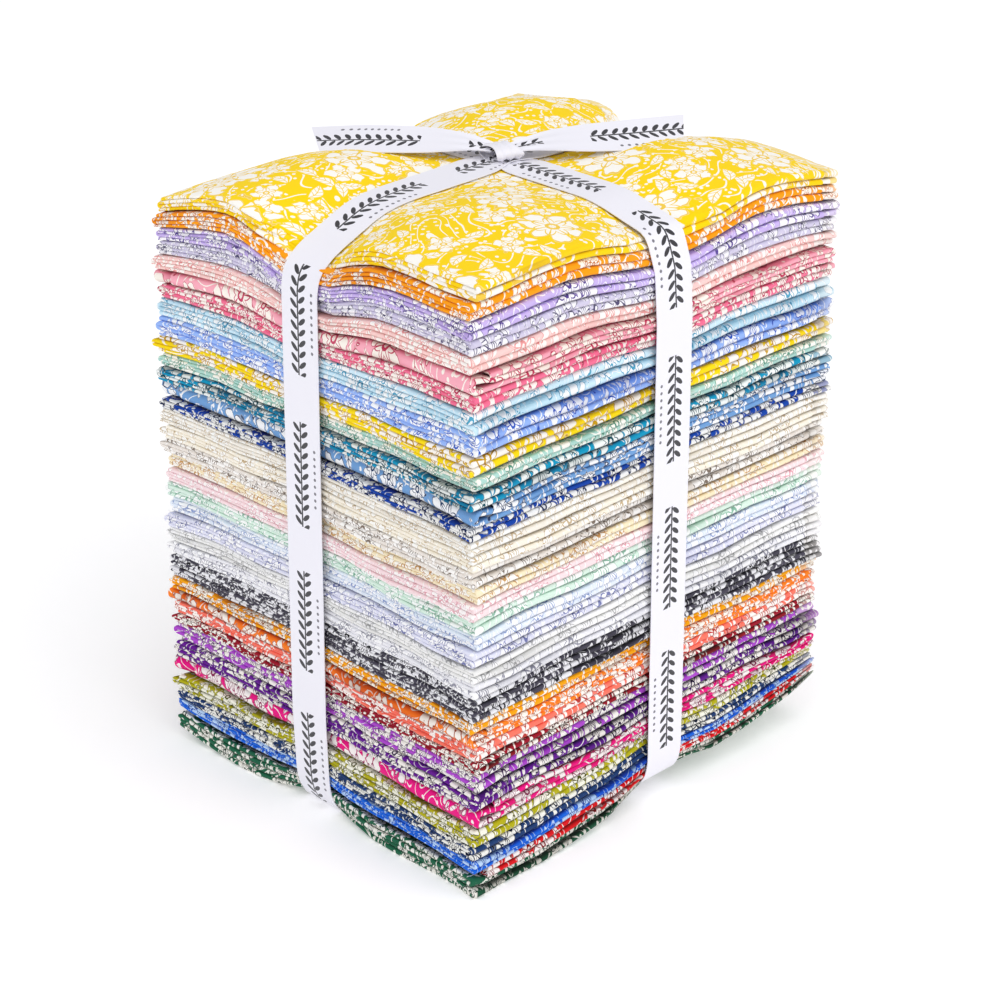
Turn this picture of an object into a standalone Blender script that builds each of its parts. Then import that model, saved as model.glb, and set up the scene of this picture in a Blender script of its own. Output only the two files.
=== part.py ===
"""A stack of folded cotton fat quarters, tied both ways with one length of ribbon.

Blender 4.5, metres, +Z up. The stack stands on the XY plane, centred on the Z axis. Each fat quarter is
a solid of its folded section, four layers back and forth, run along Y. The ribbon is one solid: four arms
between a crossing on top and a crossing underneath, with the knot and its two tails.
"""
import math

import bmesh
import bpy
from mathutils import Vector

MM = 0.001

# The folded fat quarter: the section runs along X, and the fold lines run along Y. LAYER_SHARE is how much
# of the folded height one layer takes.
HALF_X = 65.7 * MM
HALF_Y = 75.2 * MM
LAYERS = 4
LAYER_SHARE = 0.215
FOLD_STEPS = 3
PIECE_GAP = 0.4 * MM

# The ribbon, the room it keeps from the cloth, and where its two ways round cross on top and underneath.
# Its sides lean a little between the two crossings.
RIBBON_WIDTH = 15.0 * MM
RIBBON_THICKNESS = 1.0 * MM
RIBBON_GAP = 0.4 * MM
RIBBON_BEND = 0.4 * MM
RIBBON_X = -2.0 * MM
RIBBON_Y = 3.0 * MM
FOOT_X = -4.5 * MM
FOOT_Y = 5.0 * MM

# Cloth under the ribbon keeps flat for this far each side of the crossing lines.
BAND = RIBBON_WIDTH / 2 + 1.0 * MM

# The top of the stack: heights over its flat level where the ribbon holds it, between, and at the edge.
# x_zone and y_zone count outwards from the ribbon: 0 under it, 1 at a pillow's crest, 2 at the edge.
TOP_HEIGHTS_MM = {
    # (x_zone, y_zone): height_mm
    (0, 0): 1.0,
    (1, 0): 0.6,
    (2, 0): -4.5,
    (0, 1): 0.6,
    (1, 1): 6.0,
    (2, 1): 1.8,
    (0, 2): -6.3,
    (1, 2): 1.8,
}
# The corners sink by different amounts: (sign of x, sign of y): height_mm.
TOP_CORNERS_MM = {
    (1, -1): 0.8,
    (-1, -1): -6.5,
    (1, 1): -2.0,
    (-1, 1): -6.3,
}
TOP_CREST_X = 38.0 * MM
TOP_CREST_Y = 43.0 * MM
TOP_SOFT_PIECES = 7

# Underneath, the cloth lifts over the ribbon and lies on the surface beside it.
FOOT_LIFT = RIBBON_THICKNESS + RIBBON_GAP
FOOT_REACH = 20.0 * MM
FOOT_SOFT_PIECES = 2

# One row for each fat quarter, from the top of the stack down. thickness_mm is the folded height, and
# spread_mm how far it stands out past the others, or in from them below 0. shift_x_mm and shift_y_mm are
# where it lies, and turn_deg how it is turned.
COLUMNS = ("colour", "thickness_mm", "spread_mm", "shift_x_mm", "shift_y_mm", "turn_deg")
FAT_QUARTERS = [
    ("#FFD900", 4.85, 0.7, 0.1, -0.1, 0.0),
    ("#FF9D0A", 4.90, 0.7, -0.1, -0.2, 0.1),
    ("#CDB8F0", 4.80, 0.6, 0.2, 0.1, -0.1),
    ("#D6D0E8", 4.65, 0.6, 0.0, 0.2, 0.1),
    ("#FDD3CE", 4.90, 0.7, -0.2, -0.1, 0.0),
    ("#FDB0C0", 4.75, 0.6, 0.1, -0.3, -0.1),
    ("#F77398", 4.70, 0.6, 0.2, 0.0, 0.1),
    ("#C9ECFC", 6.15, 0.5, -0.1, 0.3, 0.0),
    ("#8FB2F4", 6.15, 0.5, 0.3, -0.2, 0.2),
    ("#FFE000", 5.25, 0.3, -0.2, 0.1, -0.2),
    ("#B4DED4", 3.90, 0.2, 0.1, 0.3, 0.1),
    ("#0099C2", 4.50, 0.2, 0.3, -0.3, -0.1),
    ("#74A4DA", 5.60, 0.1, -0.3, 0.2, 0.2),
    ("#0842A6", 3.40, 0.2, 0.2, -0.1, 0.0),
    ("#FCF7EC", 4.50, 0.1, -0.1, 0.3, -0.2),
    ("#FBF4E4", 4.45, 0.2, 0.3, 0.0, 0.2),
    ("#EFE8E0", 4.55, 0.1, -0.3, -0.3, -0.1),
    ("#FDEFCB", 4.45, 0.0, 0.1, 0.2, 0.1),
    ("#FCE3E6", 4.45, 0.1, 0.3, -0.2, -0.2),
    ("#DDF4E6", 4.50, 0.1, -0.2, 0.3, 0.0),
    ("#E6EFFB", 4.45, 0.0, 0.2, 0.0, 0.2),
    ("#E6E7F8", 4.45, 0.1, -0.3, -0.2, 0.1),
    ("#F8F8F6", 4.40, 0.0, 0.1, 0.3, -0.1),
    ("#F0F0F5", 4.45, 0.1, 0.3, 0.1, 0.0),
    ("#45434F", 3.70, 0.2, -0.1, -0.3, 0.2),
    ("#4A4755", 3.90, 0.1, 0.2, 0.2, -0.2),
    ("#FBAA00", 3.80, 0.0, -0.3, 0.1, 0.1),
    ("#FF8620", 3.85, 0.1, 0.1, -0.2, -0.1),
    ("#FF7A66", 4.15, 0.1, 0.3, 0.3, 0.0),
    ("#9C0E28", 2.90, 0.0, -0.2, -0.1, 0.2),
    ("#AE48CC", 5.80, 0.1, 0.2, 0.1, -0.1),
    ("#640F90", 5.70, 0.2, 0.0, -0.3, 0.1),
    ("#EE0684", 6.00, 0.2, -0.2, 0.2, -0.2),
    ("#B4AE0C", 5.40, 0.1, 0.2, 0.0, 0.1),
    ("#1A3A6E", 4.00, 0.2, -0.1, -0.2, 0.0),
    ("#0E66DC", 3.60, 0.1, 0.1, 0.2, 0.1),
    ("#E00C18", 3.90, -2.8, 2.9, 2.9, 0.0),
    ("#1B6446", 4.40, 0.0, -0.1, 0.1, 0.0),
]
RIBBON_COLOUR = "#F8F8FC"

# The knot and the tails. Each tail is a row of stations along its run from the knot to its slanted end:
# x and y are the place of its middle from the crossing, height is over the crossing, and width is across
# it. A slant above 0 makes the side on the left of the run the longer one.
KNOT_HALF_SIZE_MM = (11.0, 8.0, 4.2)
KNOT_TURN_DEG = 35.0
KNOT_HEIGHT = 4.0 * MM
TAIL_COLUMNS = ("x_mm", "y_mm", "height_mm", "width_mm")
LEFT_TAIL_SLANT = 5.0 * MM
RIGHT_TAIL_SLANT = -5.0 * MM
LEFT_TAIL = [
    (-3.0, 0.0, 4.0, 7.0),
    (-12.0, -4.5, 6.4, 11.0),
    (-23.0, -12.0, 6.2, 14.0),
    (-36.0, -20.5, 5.8, 15.0),
    (-51.5, -27.5, 5.0, 15.0),
]
RIGHT_TAIL = [
    (1.0, 3.0, 4.0, 7.0),
    (6.0, 12.0, 6.6, 11.0),
    (13.0, 23.0, 6.6, 14.0),
    (20.5, 38.0, 6.2, 15.0),
    (25.5, 52.0, 5.6, 15.0),
]


def linear(hex_colour):
    """The linear colour of an sRGB hex colour, with an alpha of 1."""
    channels = [int(hex_colour[i:i + 2], 16) / 255 for i in (1, 3, 5)]
    return [c / 12.92 if c <= 0.04045 else ((c + 0.055) / 1.055) ** 2.4 for c in channels] + [1.0]


def cloth_material(name, hex_colour, roughness):
    """A plain cloth finish of one colour."""
    material = bpy.data.materials.new(name)
    material.use_nodes = True
    shader = material.node_tree.nodes["Principled BSDF"]
    shader.inputs["Base Color"].default_value = linear(hex_colour)
    shader.inputs["Roughness"].default_value = roughness
    shader.inputs["Metallic"].default_value = 0.0
    return material


def new_object(name, mesh_builder, material):
    """Link a new object made from a bmesh whose faces all agree, turned to face out if they face in."""
    if mesh_builder.calc_volume(signed=True) < 0:
        bmesh.ops.reverse_faces(mesh_builder, faces=mesh_builder.faces)
    mesh = bpy.data.meshes.new(name)
    mesh_builder.to_mesh(mesh)
    mesh_builder.free()
    mesh.materials.append(material)
    item = bpy.data.objects.new(name, mesh)
    bpy.context.scene.collection.objects.link(item)
    return item


def rows_from_top():
    """Each row of the table as a dictionary, with the height of its underside."""
    rows = [dict(zip(COLUMNS, row)) for row in FAT_QUARTERS]
    height = 0.0
    for row in reversed(rows):
        row["base"] = height
        row["top"] = height + row["thickness_mm"] * MM
        height = row["top"] + PIECE_GAP
    return rows


ROWS = rows_from_top()
STACK_HEIGHT = ROWS[0]["top"]
TOP_SOFT_FROM = ROWS[TOP_SOFT_PIECES]["top"]
FOOT_SOFT_TO = ROWS[-FOOT_SOFT_PIECES]["top"]


def zone(distance, crest, edge):
    """Turn a distance from the ribbon's line into a zone: 0 under it, 1 at the crest and 2 at the edge."""
    if distance <= BAND:
        return 0.0
    if distance <= crest:
        return (distance - BAND) / (crest - BAND)
    return 1.0 + min(1.0, (distance - crest) / (edge - crest))


def top_height(x, y):
    """How far the top of the stack lies over its flat level at a place."""
    x_side = 1 if x > RIBBON_X else -1
    y_side = 1 if y > RIBBON_Y else -1
    x_zone = zone(abs(x - RIBBON_X), TOP_CREST_X, HALF_X - x_side * RIBBON_X)
    y_zone = zone(abs(y - RIBBON_Y), TOP_CREST_Y, HALF_Y - y_side * RIBBON_Y)
    heights = dict(TOP_HEIGHTS_MM)
    heights[(2, 2)] = TOP_CORNERS_MM[(x_side, y_side)]
    i = min(1, int(x_zone))
    j = min(1, int(y_zone))
    s = x_zone - i
    t = y_zone - j
    near = heights[(i, j)] * (1 - t) + heights[(i, j + 1)] * t
    far = heights[(i + 1, j)] * (1 - t) + heights[(i + 1, j + 1)] * t
    return (near * (1 - s) + far * s) * MM


def foot_height(x, y):
    """How far the underside of the stack lifts over the ribbon at a place."""
    nearest = min(abs(x - FOOT_X), abs(y - FOOT_Y))
    return FOOT_LIFT * max(0.0, min(1.0, (FOOT_REACH - nearest) / (FOOT_REACH - BAND)))


def settle(x, y, z):
    """Move a point of the flat stack to where the ribbon's pull and the surface below leave it."""
    top_share = max(0.0, (z - TOP_SOFT_FROM) / (STACK_HEIGHT - TOP_SOFT_FROM))
    foot_share = max(0.0, 1.0 - z / FOOT_SOFT_TO)
    return z + top_height(x, y) * top_share + foot_height(x, y) * foot_share


def stations(half, middle, inner):
    """Places along a layer: both ends, and each side of the ribbon's middle where the cloth isn't flat."""
    if inner is None:
        return [-half, half]
    return [-half, middle - inner, middle - BAND, middle + BAND, middle + inner, half]


def folded_path(half, height, middle, inner):
    """The middle line of the folded section as (x, z, normal_x, normal_z), from the bottom layer up.

    The bottom layer starts at -X. Its folds lie at +X, -X and +X, so both raw ends are at -X.
    """
    layer_thickness = LAYER_SHARE * height
    pitch = (height - layer_thickness) / (LAYERS - 1)
    radius = pitch / 2
    run = half - radius - layer_thickness / 2
    path = []
    for layer in range(LAYERS):
        way = 1 if layer % 2 == 0 else -1
        level = layer_thickness / 2 + layer * pitch
        for x in stations(run, middle, inner)[::way]:
            path.append((x, level, 0.0, way))
        if layer < LAYERS - 1:
            for step in range(1, FOLD_STEPS):
                angle = math.pi * step / FOLD_STEPS
                out = math.sin(angle)
                up = -math.cos(angle)
                path.append((way * (run + radius * out), level + radius * (1 + up), -out, -way * up))
    return path


def fat_quarter(number, row):
    """One folded fat quarter: its section run along Y, then settled, shifted and turned into place."""
    in_top = number <= TOP_SOFT_PIECES
    in_foot = number > len(ROWS) - FOOT_SOFT_PIECES
    inner_x = TOP_CREST_X if in_top else FOOT_REACH if in_foot else None
    inner_y = TOP_CREST_Y if in_top else FOOT_REACH if in_foot else None
    middle_x, middle_y = (FOOT_X, FOOT_Y) if in_foot else (RIBBON_X, RIBBON_Y)
    spread = row["spread_mm"] * MM
    height = row["top"] - row["base"]
    shift_x = row["shift_x_mm"] * MM
    shift_y = row["shift_y_mm"] * MM
    turn = math.radians(row["turn_deg"])
    builder = bmesh.new()
    rings = []
    for y in stations(HALF_Y + spread, middle_y - shift_y, inner_y):
        sides = ([], [])
        for x, z, normal_x, normal_z in folded_path(HALF_X + spread, height, middle_x - shift_x, inner_x):
            for side, sign in zip(sides, (1, -1)):
                side_x = x + sign * normal_x * LAYER_SHARE * height / 2
                side_z = row["base"] + z + sign * normal_z * LAYER_SHARE * height / 2
                place_x = side_x * math.cos(turn) - y * math.sin(turn) + shift_x
                place_y = side_x * math.sin(turn) + y * math.cos(turn) + shift_y
                place_z = settle(side_x + shift_x, y + shift_y, side_z)
                side.append(builder.verts.new((place_x, place_y, place_z)))
        rings.append(sides)
    close_strip(builder, rings)
    material = cloth_material(f"cotton_{number:02d}", row["colour"], 0.85)
    return new_object(f"fat_quarter_{number:02d}", builder, material)


def split_face(builder, corners):
    """Two triangles, cut from the corner nearest the Z axis, so that layers over each other bend alike."""
    nearest = min(range(4), key=lambda k: corners[k].co.xy.length)
    a, b, c, d = corners[nearest:] + corners[:nearest]
    builder.faces.new((a, b, c))
    builder.faces.new((a, c, d))


def close_strip(builder, rings):
    """Join rings of (one side, other side) points into a closed solid strip."""
    loops = [first + second[::-1] for first, second in rings]
    for near, far in zip(loops, loops[1:]):
        for k in range(len(near)):
            after = (k + 1) % len(near)
            split_face(builder, (near[k], near[after], far[after], far[k]))
    for way, (first, second) in ((-1, rings[0]), (1, rings[-1])):
        for k in range(len(first) - 1):
            builder.faces.new((first[k], first[k + 1], second[k + 1], second[k])[::way])


def arm_path(reach, crest, edge_zone):
    """The inner side of one arm as (distance out, height), from the top crossing down to the one below.

    edge_zone is the zone of the arm's run: (2, 0) for an arm along X and (0, 2) for an arm along Y.
    """
    mid_zone = (edge_zone[0] // 2, edge_zone[1] // 2)
    level = STACK_HEIGHT + RIBBON_GAP
    middle = level + TOP_HEIGHTS_MM[mid_zone] * MM
    edge = level + TOP_HEIGHTS_MM[edge_zone] * MM
    return [
        (crest, middle),
        (reach - RIBBON_BEND, edge),
        (reach, edge - RIBBON_BEND),
        (reach, RIBBON_THICKNESS + RIBBON_BEND),
        (reach - RIBBON_BEND, RIBBON_THICKNESS),
    ]


def ribbon_wrap(material):
    """The ribbon round the stack: four arms that join in a crossing on top and a crossing below."""
    half = RIBBON_WIDTH / 2
    most_spread = max(row["spread_mm"] + abs(row["shift_x_mm"]) for row in ROWS) * MM
    crossing_top = STACK_HEIGHT + RIBBON_GAP + TOP_HEIGHTS_MM[(0, 0)] * MM
    builder = bmesh.new()
    corners = [(half, -half), (half, half), (-half, half), (-half, -half)]
    centre = Vector((RIBBON_X, RIBBON_Y, 0.0))
    lean = Vector((FOOT_X, FOOT_Y, 0.0)) - centre
    top = [builder.verts.new(centre + Vector((x, y, crossing_top))) for x, y in corners]
    foot = [builder.verts.new(centre + lean + Vector((x, y, RIBBON_THICKNESS))) for x, y in corners]
    builder.faces.new(top)
    builder.faces.new(foot[::-1])
    for k in range(4):
        along_x = k % 2 == 0
        out = Vector((math.cos(k * math.pi / 2), math.sin(k * math.pi / 2), 0.0))
        reach = (HALF_X if along_x else HALF_Y) + most_spread + RIBBON_GAP - out.dot(centre)
        crest = TOP_CREST_X if along_x else TOP_CREST_Y
        side = Vector((-out.y, out.x, 0.0)) * half
        previous = (top[k], top[(k + 1) % 4])
        for distance, height in arm_path(reach, crest, (2, 0) if along_x else (0, 2)):
            sideways = (lean - out * lean.dot(out)) * max(0.0, 1.0 - height / STACK_HEIGHT)
            middle = centre + out * distance + sideways + Vector((0.0, 0.0, height))
            pair = (builder.verts.new(middle - side), builder.verts.new(middle + side))
            builder.faces.new((previous[0], pair[0], pair[1], previous[1]))
            previous = pair
        builder.faces.new((previous[0], foot[k], foot[(k + 1) % 4], previous[1]))
    bmesh.ops.recalc_face_normals(builder, faces=builder.faces)
    wrap = new_object("ribbon", builder, material)
    solidify = wrap.modifiers.new("thickness", "SOLIDIFY")
    solidify.thickness = RIBBON_THICKNESS
    solidify.offset = 1.0
    solidify.use_even_offset = True
    return wrap


def knot(material, crossing):
    """The knot: one rounded lump over the crossing."""
    builder = bmesh.new()
    bmesh.ops.create_uvsphere(builder, u_segments=16, v_segments=8, radius=1.0)
    turn = math.radians(KNOT_TURN_DEG)
    for vert in builder.verts:
        x, y, z = (value * size * MM for value, size in zip(vert.co, KNOT_HALF_SIZE_MM))
        vert.co = (
            RIBBON_X + x * math.cos(turn) - y * math.sin(turn),
            RIBBON_Y + x * math.sin(turn) + y * math.cos(turn),
            crossing + KNOT_HEIGHT + z,
        )
    return new_object("knot", builder, material)


def tail(name, rows, slant, material, crossing):
    """One free tail: a strip that widens out of the knot and ends on a slant."""
    rows = [dict(zip(TAIL_COLUMNS, row)) for row in rows]
    places = [Vector((row["x_mm"], row["y_mm"], row["height_mm"])) * MM for row in rows]
    builder = bmesh.new()
    rings = []
    for k, (row, place) in enumerate(zip(rows, places)):
        run = (places[min(k + 1, len(places) - 1)] - places[max(k - 1, 0)]).normalized()
        across = Vector((-run.y, run.x, 0.0)).normalized()
        up = run.cross(across)
        lean = run * slant if k == len(rows) - 1 else Vector()
        ring = []
        for level in (0.0, RIBBON_THICKNESS):
            side = []
            for sign in (-1, 1):
                point = place + across * sign * row["width_mm"] * MM / 2 + up * level + lean * sign
                side.append(builder.verts.new(point + Vector((RIBBON_X, RIBBON_Y, crossing))))
            ring.append(side)
        rings.append(ring)
    close_strip(builder, rings)
    return new_object(name, builder, material)


def ribbon():
    """The whole ribbon as one solid: the wrap, joined to its knot and its tails."""
    material = cloth_material("ribbon", RIBBON_COLOUR, 0.5)
    wrap = ribbon_wrap(material)
    crossing = STACK_HEIGHT + RIBBON_GAP + TOP_HEIGHTS_MM[(0, 0)] * MM + RIBBON_THICKNESS / 2
    pieces = [
        knot(material, crossing),
        tail("tail_left", LEFT_TAIL, LEFT_TAIL_SLANT, material, crossing),
        tail("tail_right", RIGHT_TAIL, RIGHT_TAIL_SLANT, material, crossing),
    ]
    for piece in pieces:
        piece.hide_render = True
        piece.display_type = "WIRE"
        union = wrap.modifiers.new(piece.name, "BOOLEAN")
        union.operation = "UNION"
        union.solver = "EXACT"
        union.object = piece
    return wrap


def main():
    """Clear the scene and build the stack."""
    for item in list(bpy.data.objects):
        bpy.data.objects.remove(item, do_unlink=True)
    for number, row in enumerate(ROWS, start=1):
        fat_quarter(number, row)
    ribbon()


main()
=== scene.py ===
import math

import bpy
import numpy as np
from mathutils import Matrix, Vector


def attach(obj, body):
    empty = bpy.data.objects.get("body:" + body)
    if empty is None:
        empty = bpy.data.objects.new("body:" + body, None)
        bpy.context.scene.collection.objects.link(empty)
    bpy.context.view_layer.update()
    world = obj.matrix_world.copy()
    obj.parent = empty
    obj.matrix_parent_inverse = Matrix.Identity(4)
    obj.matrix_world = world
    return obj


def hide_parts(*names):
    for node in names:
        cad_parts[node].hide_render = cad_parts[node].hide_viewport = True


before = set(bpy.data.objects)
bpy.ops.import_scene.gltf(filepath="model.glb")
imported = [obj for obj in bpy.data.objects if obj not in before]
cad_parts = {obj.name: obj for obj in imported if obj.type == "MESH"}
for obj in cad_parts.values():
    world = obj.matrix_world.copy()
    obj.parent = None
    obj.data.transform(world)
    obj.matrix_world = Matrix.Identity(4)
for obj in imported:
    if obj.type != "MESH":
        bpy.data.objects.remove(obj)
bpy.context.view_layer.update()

MM = 0.001

# ---------------------------------------------------------------- sizes of the cloth and its folds

# A fat quarter is cut 18 by 21 inches. It is folded one way into plies, then the other way into legs.
# A fold's layers meet over FOLD_REACH, and over EDGE_FADE each one drifts in or out by its own amount. A fold
# is rounded by up to FOLD_NOSE, and one inside another is tucked in. Loose ends stop short of the edge, and
# well short where folds hide them.
CLOTH_THICKNESS = 0.23 * MM
FOLD_GAP = 0.08 * MM
FOLD_REACH = 9.0 * MM
EDGE_FADE = 24.0 * MM
FOLD_NOSE = 0.9 * MM
TUCK = 2.2 * MM
HIDDEN_END = 7.0 * MM
OPEN_END = 1.5 * MM
PIECE_GAP = 0.4 * MM

# Half the folded size each way, how far a fold stands past it, and how much fuller the last fat quarter is.
HALF_X = 65.7 * MM
HALF_Y = 75.2 * MM
STICK_OUT = 0.5 * MM
FULLER = 2.6 * MM

# The ribbon, and where its two ways round cross on top and underneath. Its sides lean between the two.
# Cloth within BAND of its middle lies flat under it, and cloth within SUPPORT of it carries it. It is drawn
# together to GATHERED at the knot. One way round lies over the other, and the free ends are cut on a slant.
RIBBON_WIDTH = 15.0 * MM
RIBBON_THICKNESS = 0.25 * MM
RIBBON_GAP = 0.45 * MM
RIBBON_X = -2.0 * MM
RIBBON_Y = 3.0 * MM
FOOT_X = -4.5 * MM
FOOT_Y = 5.0 * MM
BAND = RIBBON_WIDTH / 2 + 1.0 * MM
SUPPORT = RIBBON_WIDTH / 2 + 3.5 * MM
GATHERED = 9.0 * MM
CROSSING_LIFT = 0.32 * MM
END_SLANT = 5.0 * MM

# Heights of the stack's top over its flat level, by zone outwards from the ribbon: 0 under it, 1 at a
# pillow's crest and 2 at the edge. The top also sinks to the left and to the back.
TOP_HEIGHTS_MM = {
    (0, 0): 1.0, (1, 0): 0.6, (2, 0): -4.5,
    (0, 1): 0.6, (1, 1): 5.6, (2, 1): 2.2,
    (0, 2): -7.6, (1, 2): 1.8,
}
LEFT_SINK = 6.6 * MM
BACK_SINK = 2.5 * MM

# How far the pillows' crests are from the ribbon's lines, and how deep their shape reaches into the stack.
TOP_CREST_X = 36.0 * MM
TOP_CREST_Y = 41.0 * MM
TOP_DEPTH = 62.0 * MM

# The underside lifts over the ribbon, out to FOOT_REACH, and its right side curls up toward the back.
FOOT_DEPTH = 40.0 * MM
FOOT_LIFT = 2.2 * MM
FOOT_REACH = 22.0 * MM
FOOT_CURL = 8.4 * MM

# The ribbon draws the sides in by PINCH, and rounds the top and bottom edges off by more, over a depth. It
# acts over PULL_WIDTH to each side of its middle.
PINCH = 0.7 * MM
TOP_EDGE_PULL = 11.0 * MM
TOP_EDGE_DEPTH = 15.0 * MM
FOOT_EDGE_PULL = 5.0 * MM
FOOT_EDGE_DEPTH = 9.0 * MM
PULL_WIDTH = 16.0 * MM

# How uneven the free sides are, in and out, and up and down.
SIDE_SWAY = 0.6 * MM
SIDE_WAVE = 0.3 * MM

# What each corner adds: to the top's height, to the underside's height, and how far it sticks out.
CORNERS_MM = {
    (1, -1): (0.8, 0.0, 0.6),
    (-1, -1): (0.8, 4.0, 2.0),
    (1, 1): (0.6, 6.2, 0.8),
    (-1, 1): (4.0, 5.0, 0.8),
}

# ---------------------------------------------------------------- the prints, from the top of the stack

# design names a layout of the printed flowers. Each hex colour is sRGB: the ground, the flowers on it and
# the fine drawn lines.
COLUMNS = ("thickness_mm", "spread_mm", "shift_x_mm", "shift_y_mm", "turn_deg", "design", "ground", "motif",
           "line")
PRINTS = [
    (4.85, 0.7, 0.1, -0.1, 0.0, "garden", "#FFD900", "#FFFCF4", "#F5CE4C"),
    (4.90, 0.7, -0.1, -0.2, 0.1, "scatter", "#FFA304", "#FFFBF2", "#C96A12"),
    (4.80, 0.6, 0.2, 0.1, -0.1, "tendril", "#CDB8F0", "#FDFBFF", "#5E4A9A"),
    (4.65, 0.6, 0.0, 0.2, 0.1, "tendril", "#D6D0E8", "#FAF9FD", "#554E74"),
    (4.90, 0.7, -0.2, -0.1, 0.0, "posy", "#FDD3CE", "#FFF9F4", "#EE9C9A"),
    (4.75, 0.6, 0.1, -0.3, -0.1, "meadow", "#FDB0C0", "#FFF8EE", "#CC4468"),
    (4.70, 0.6, 0.2, 0.0, 0.1, "sprig", "#F77398", "#FFF7F0", "#BC2A58"),
    (6.15, 0.5, -0.1, 0.3, 0.0, "tendril", "#D2F0FE", "#FCFEFF", "#4FA6C8"),
    (6.15, 0.5, 0.3, -0.2, 0.2, "sprig", "#9ABBFA", "#F9FBFF", "#2C5CC4"),
    (5.25, 0.3, -0.2, 0.1, -0.2, "meadow", "#FFE000", "#FFFBF4", "#CC9C00"),
    (3.90, 0.2, 0.1, 0.3, 0.1, "sprig", "#B4DED4", "#FDFCF4", "#5A9A84"),
    (4.50, 0.2, 0.3, -0.3, -0.1, "posy", "#0099C2", "#F4F8F6", "#04505E"),
    (5.60, 0.1, -0.3, 0.2, 0.2, "meadow", "#74A4DA", "#FBFCFE", "#1F3C66"),
    (3.40, 0.2, 0.2, -0.1, 0.0, "posy", "#0842A6", "#F2F2F0", "#0A1E4C"),
    (4.50, 0.1, -0.1, 0.3, -0.2, "sprig", "#FCF7EC", "#FFFFFC", "#D6C4A8"),
    (4.45, 0.2, 0.3, 0.0, 0.2, "posy", "#FBF4E4", "#FFFEFA", "#CCB590"),
    (4.55, 0.1, -0.3, -0.3, -0.1, "tendril", "#EFE8E0", "#FFFDFA", "#85766A"),
    (4.45, 0.0, 0.1, 0.2, 0.1, "posy", "#FDEFCB", "#FFFDF6", "#CFA066"),
    (4.45, 0.1, 0.3, -0.2, -0.2, "sprig", "#FCE3E6", "#FFFBFA", "#E6A8B4"),
    (4.50, 0.1, -0.2, 0.3, 0.0, "meadow", "#DDF4E6", "#FCFFFD", "#8EC0A8"),
    (4.45, 0.0, 0.2, 0.0, 0.2, "tendril", "#E6EFFB", "#FCFDFF", "#94A6D2"),
    (4.45, 0.1, -0.3, -0.2, 0.1, "tendril", "#E6E7F8", "#FDFDFF", "#7C82B4"),
    (4.40, 0.0, 0.1, 0.3, -0.1, "posy", "#F8F8F6", "#FFFFFF", "#BCBCBC"),
    (4.45, 0.1, 0.3, 0.1, 0.0, "tendril", "#F0F0F5", "#FEFEFF", "#9A9AA8"),
    (3.70, 0.2, -0.1, -0.3, 0.2, "tendril", "#45434F", "#F2F2F6", "#141418"),
    (3.90, 0.1, 0.2, 0.2, -0.2, "tendril", "#4A4755", "#EEEEF2", "#1C1C22"),
    (3.80, 0.0, -0.3, 0.1, 0.1, "scatter", "#FBAA00", "#FFFBF0", "#96540A"),
    (3.85, 0.1, 0.1, -0.2, -0.1, "sprig", "#FF8620", "#FFFAF2", "#A8440F"),
    (4.15, 0.1, 0.3, 0.3, 0.0, "meadow", "#FF7A66", "#FFF9F4", "#BC3A34"),
    (2.90, 0.0, -0.2, -0.1, 0.2, "scatter", "#9C0E28", "#FDFAF2", "#420A14"),
    (5.80, 0.1, 0.2, 0.1, -0.1, "sprig", "#AE48CC", "#F6F3EE", "#441458"),
    (5.70, 0.2, 0.0, -0.3, 0.1, "sprig", "#640F90", "#F4F0EA", "#260A40"),
    (6.00, 0.2, -0.2, 0.2, -0.2, "posy", "#EE0684", "#FBF4F2", "#8C1454"),
    (5.40, 0.1, 0.2, 0.0, 0.1, "sprig", "#B4AE0C", "#F6F5E6", "#50500A"),
    (4.00, 0.2, -0.1, -0.2, 0.0, "posy", "#1A3A6E", "#F2F2EC", "#0A1834"),
    (3.60, 0.1, 0.1, 0.2, 0.1, "tendril", "#0E66DC", "#BCD8FA", "#0A3C98"),
    (3.90, -2.8, 2.9, 2.9, 0.0, "sprig", "#E00C18", "#FAF2EE", "#860C14"),
    (4.40, 0.0, -0.1, 0.1, 0.0, "scatter", "#1B6446", "#F2F1E8", "#0E3022"),
]

# The fat quarters that lie turned, with their last folds at the front.
FOLDED_LAST_AT_FRONT = (6, 13, 28, 33)

# Layouts of the printed flowers. Sizes in mm are the room each flower or leaf has. A share is how many of
# those places hold one.
DESIGN_COLUMNS = ("Bloom mm", "Bloom share", "Small mm", "Small share", "Leaf mm", "Leaf share", "Vine mm",
                  "Dot share")
DESIGNS = {
    "garden": (24.0, 0.62, 12.0, 0.55, 8.5, 0.85, 13.0, 0.35),
    "meadow": (16.0, 0.75, 9.5, 0.65, 7.5, 0.90, 10.0, 0.25),
    "posy": (13.0, 0.80, 8.5, 0.65, 6.6, 0.90, 8.0, 0.25),
    "tendril": (13.0, 0.75, 8.0, 0.70, 7.0, 0.95, 5.5, 0.20),
    "sprig": (11.0, 0.75, 7.5, 0.65, 6.2, 0.90, 7.5, 0.30),
    "scatter": (8.0, 0.45, 5.5, 0.50, 4.8, 0.75, 12.0, 0.40),
}


def print_rows():
    """Each print as a dictionary, with the flat heights of its fat quarter's underside and top."""
    rows = [dict(zip(COLUMNS, row), fold="right") for row in PRINTS]
    for number in FOLDED_LAST_AT_FRONT:
        rows[number - 1]["fold"] = "front"
    height = 0.0
    for row in reversed(rows):
        row["base"] = height
        row["top"] = height + row["thickness_mm"] * MM
        height = row["top"] + PIECE_GAP
    return rows


ROWS = print_rows()
STACK_HEIGHT = ROWS[0]["top"]

# The bare yarn, as the reverse and the frayed edges show it.
BARE_COTTON = "#F6F2EA"

# ---------------------------------------------------------------- small helpers


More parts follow.
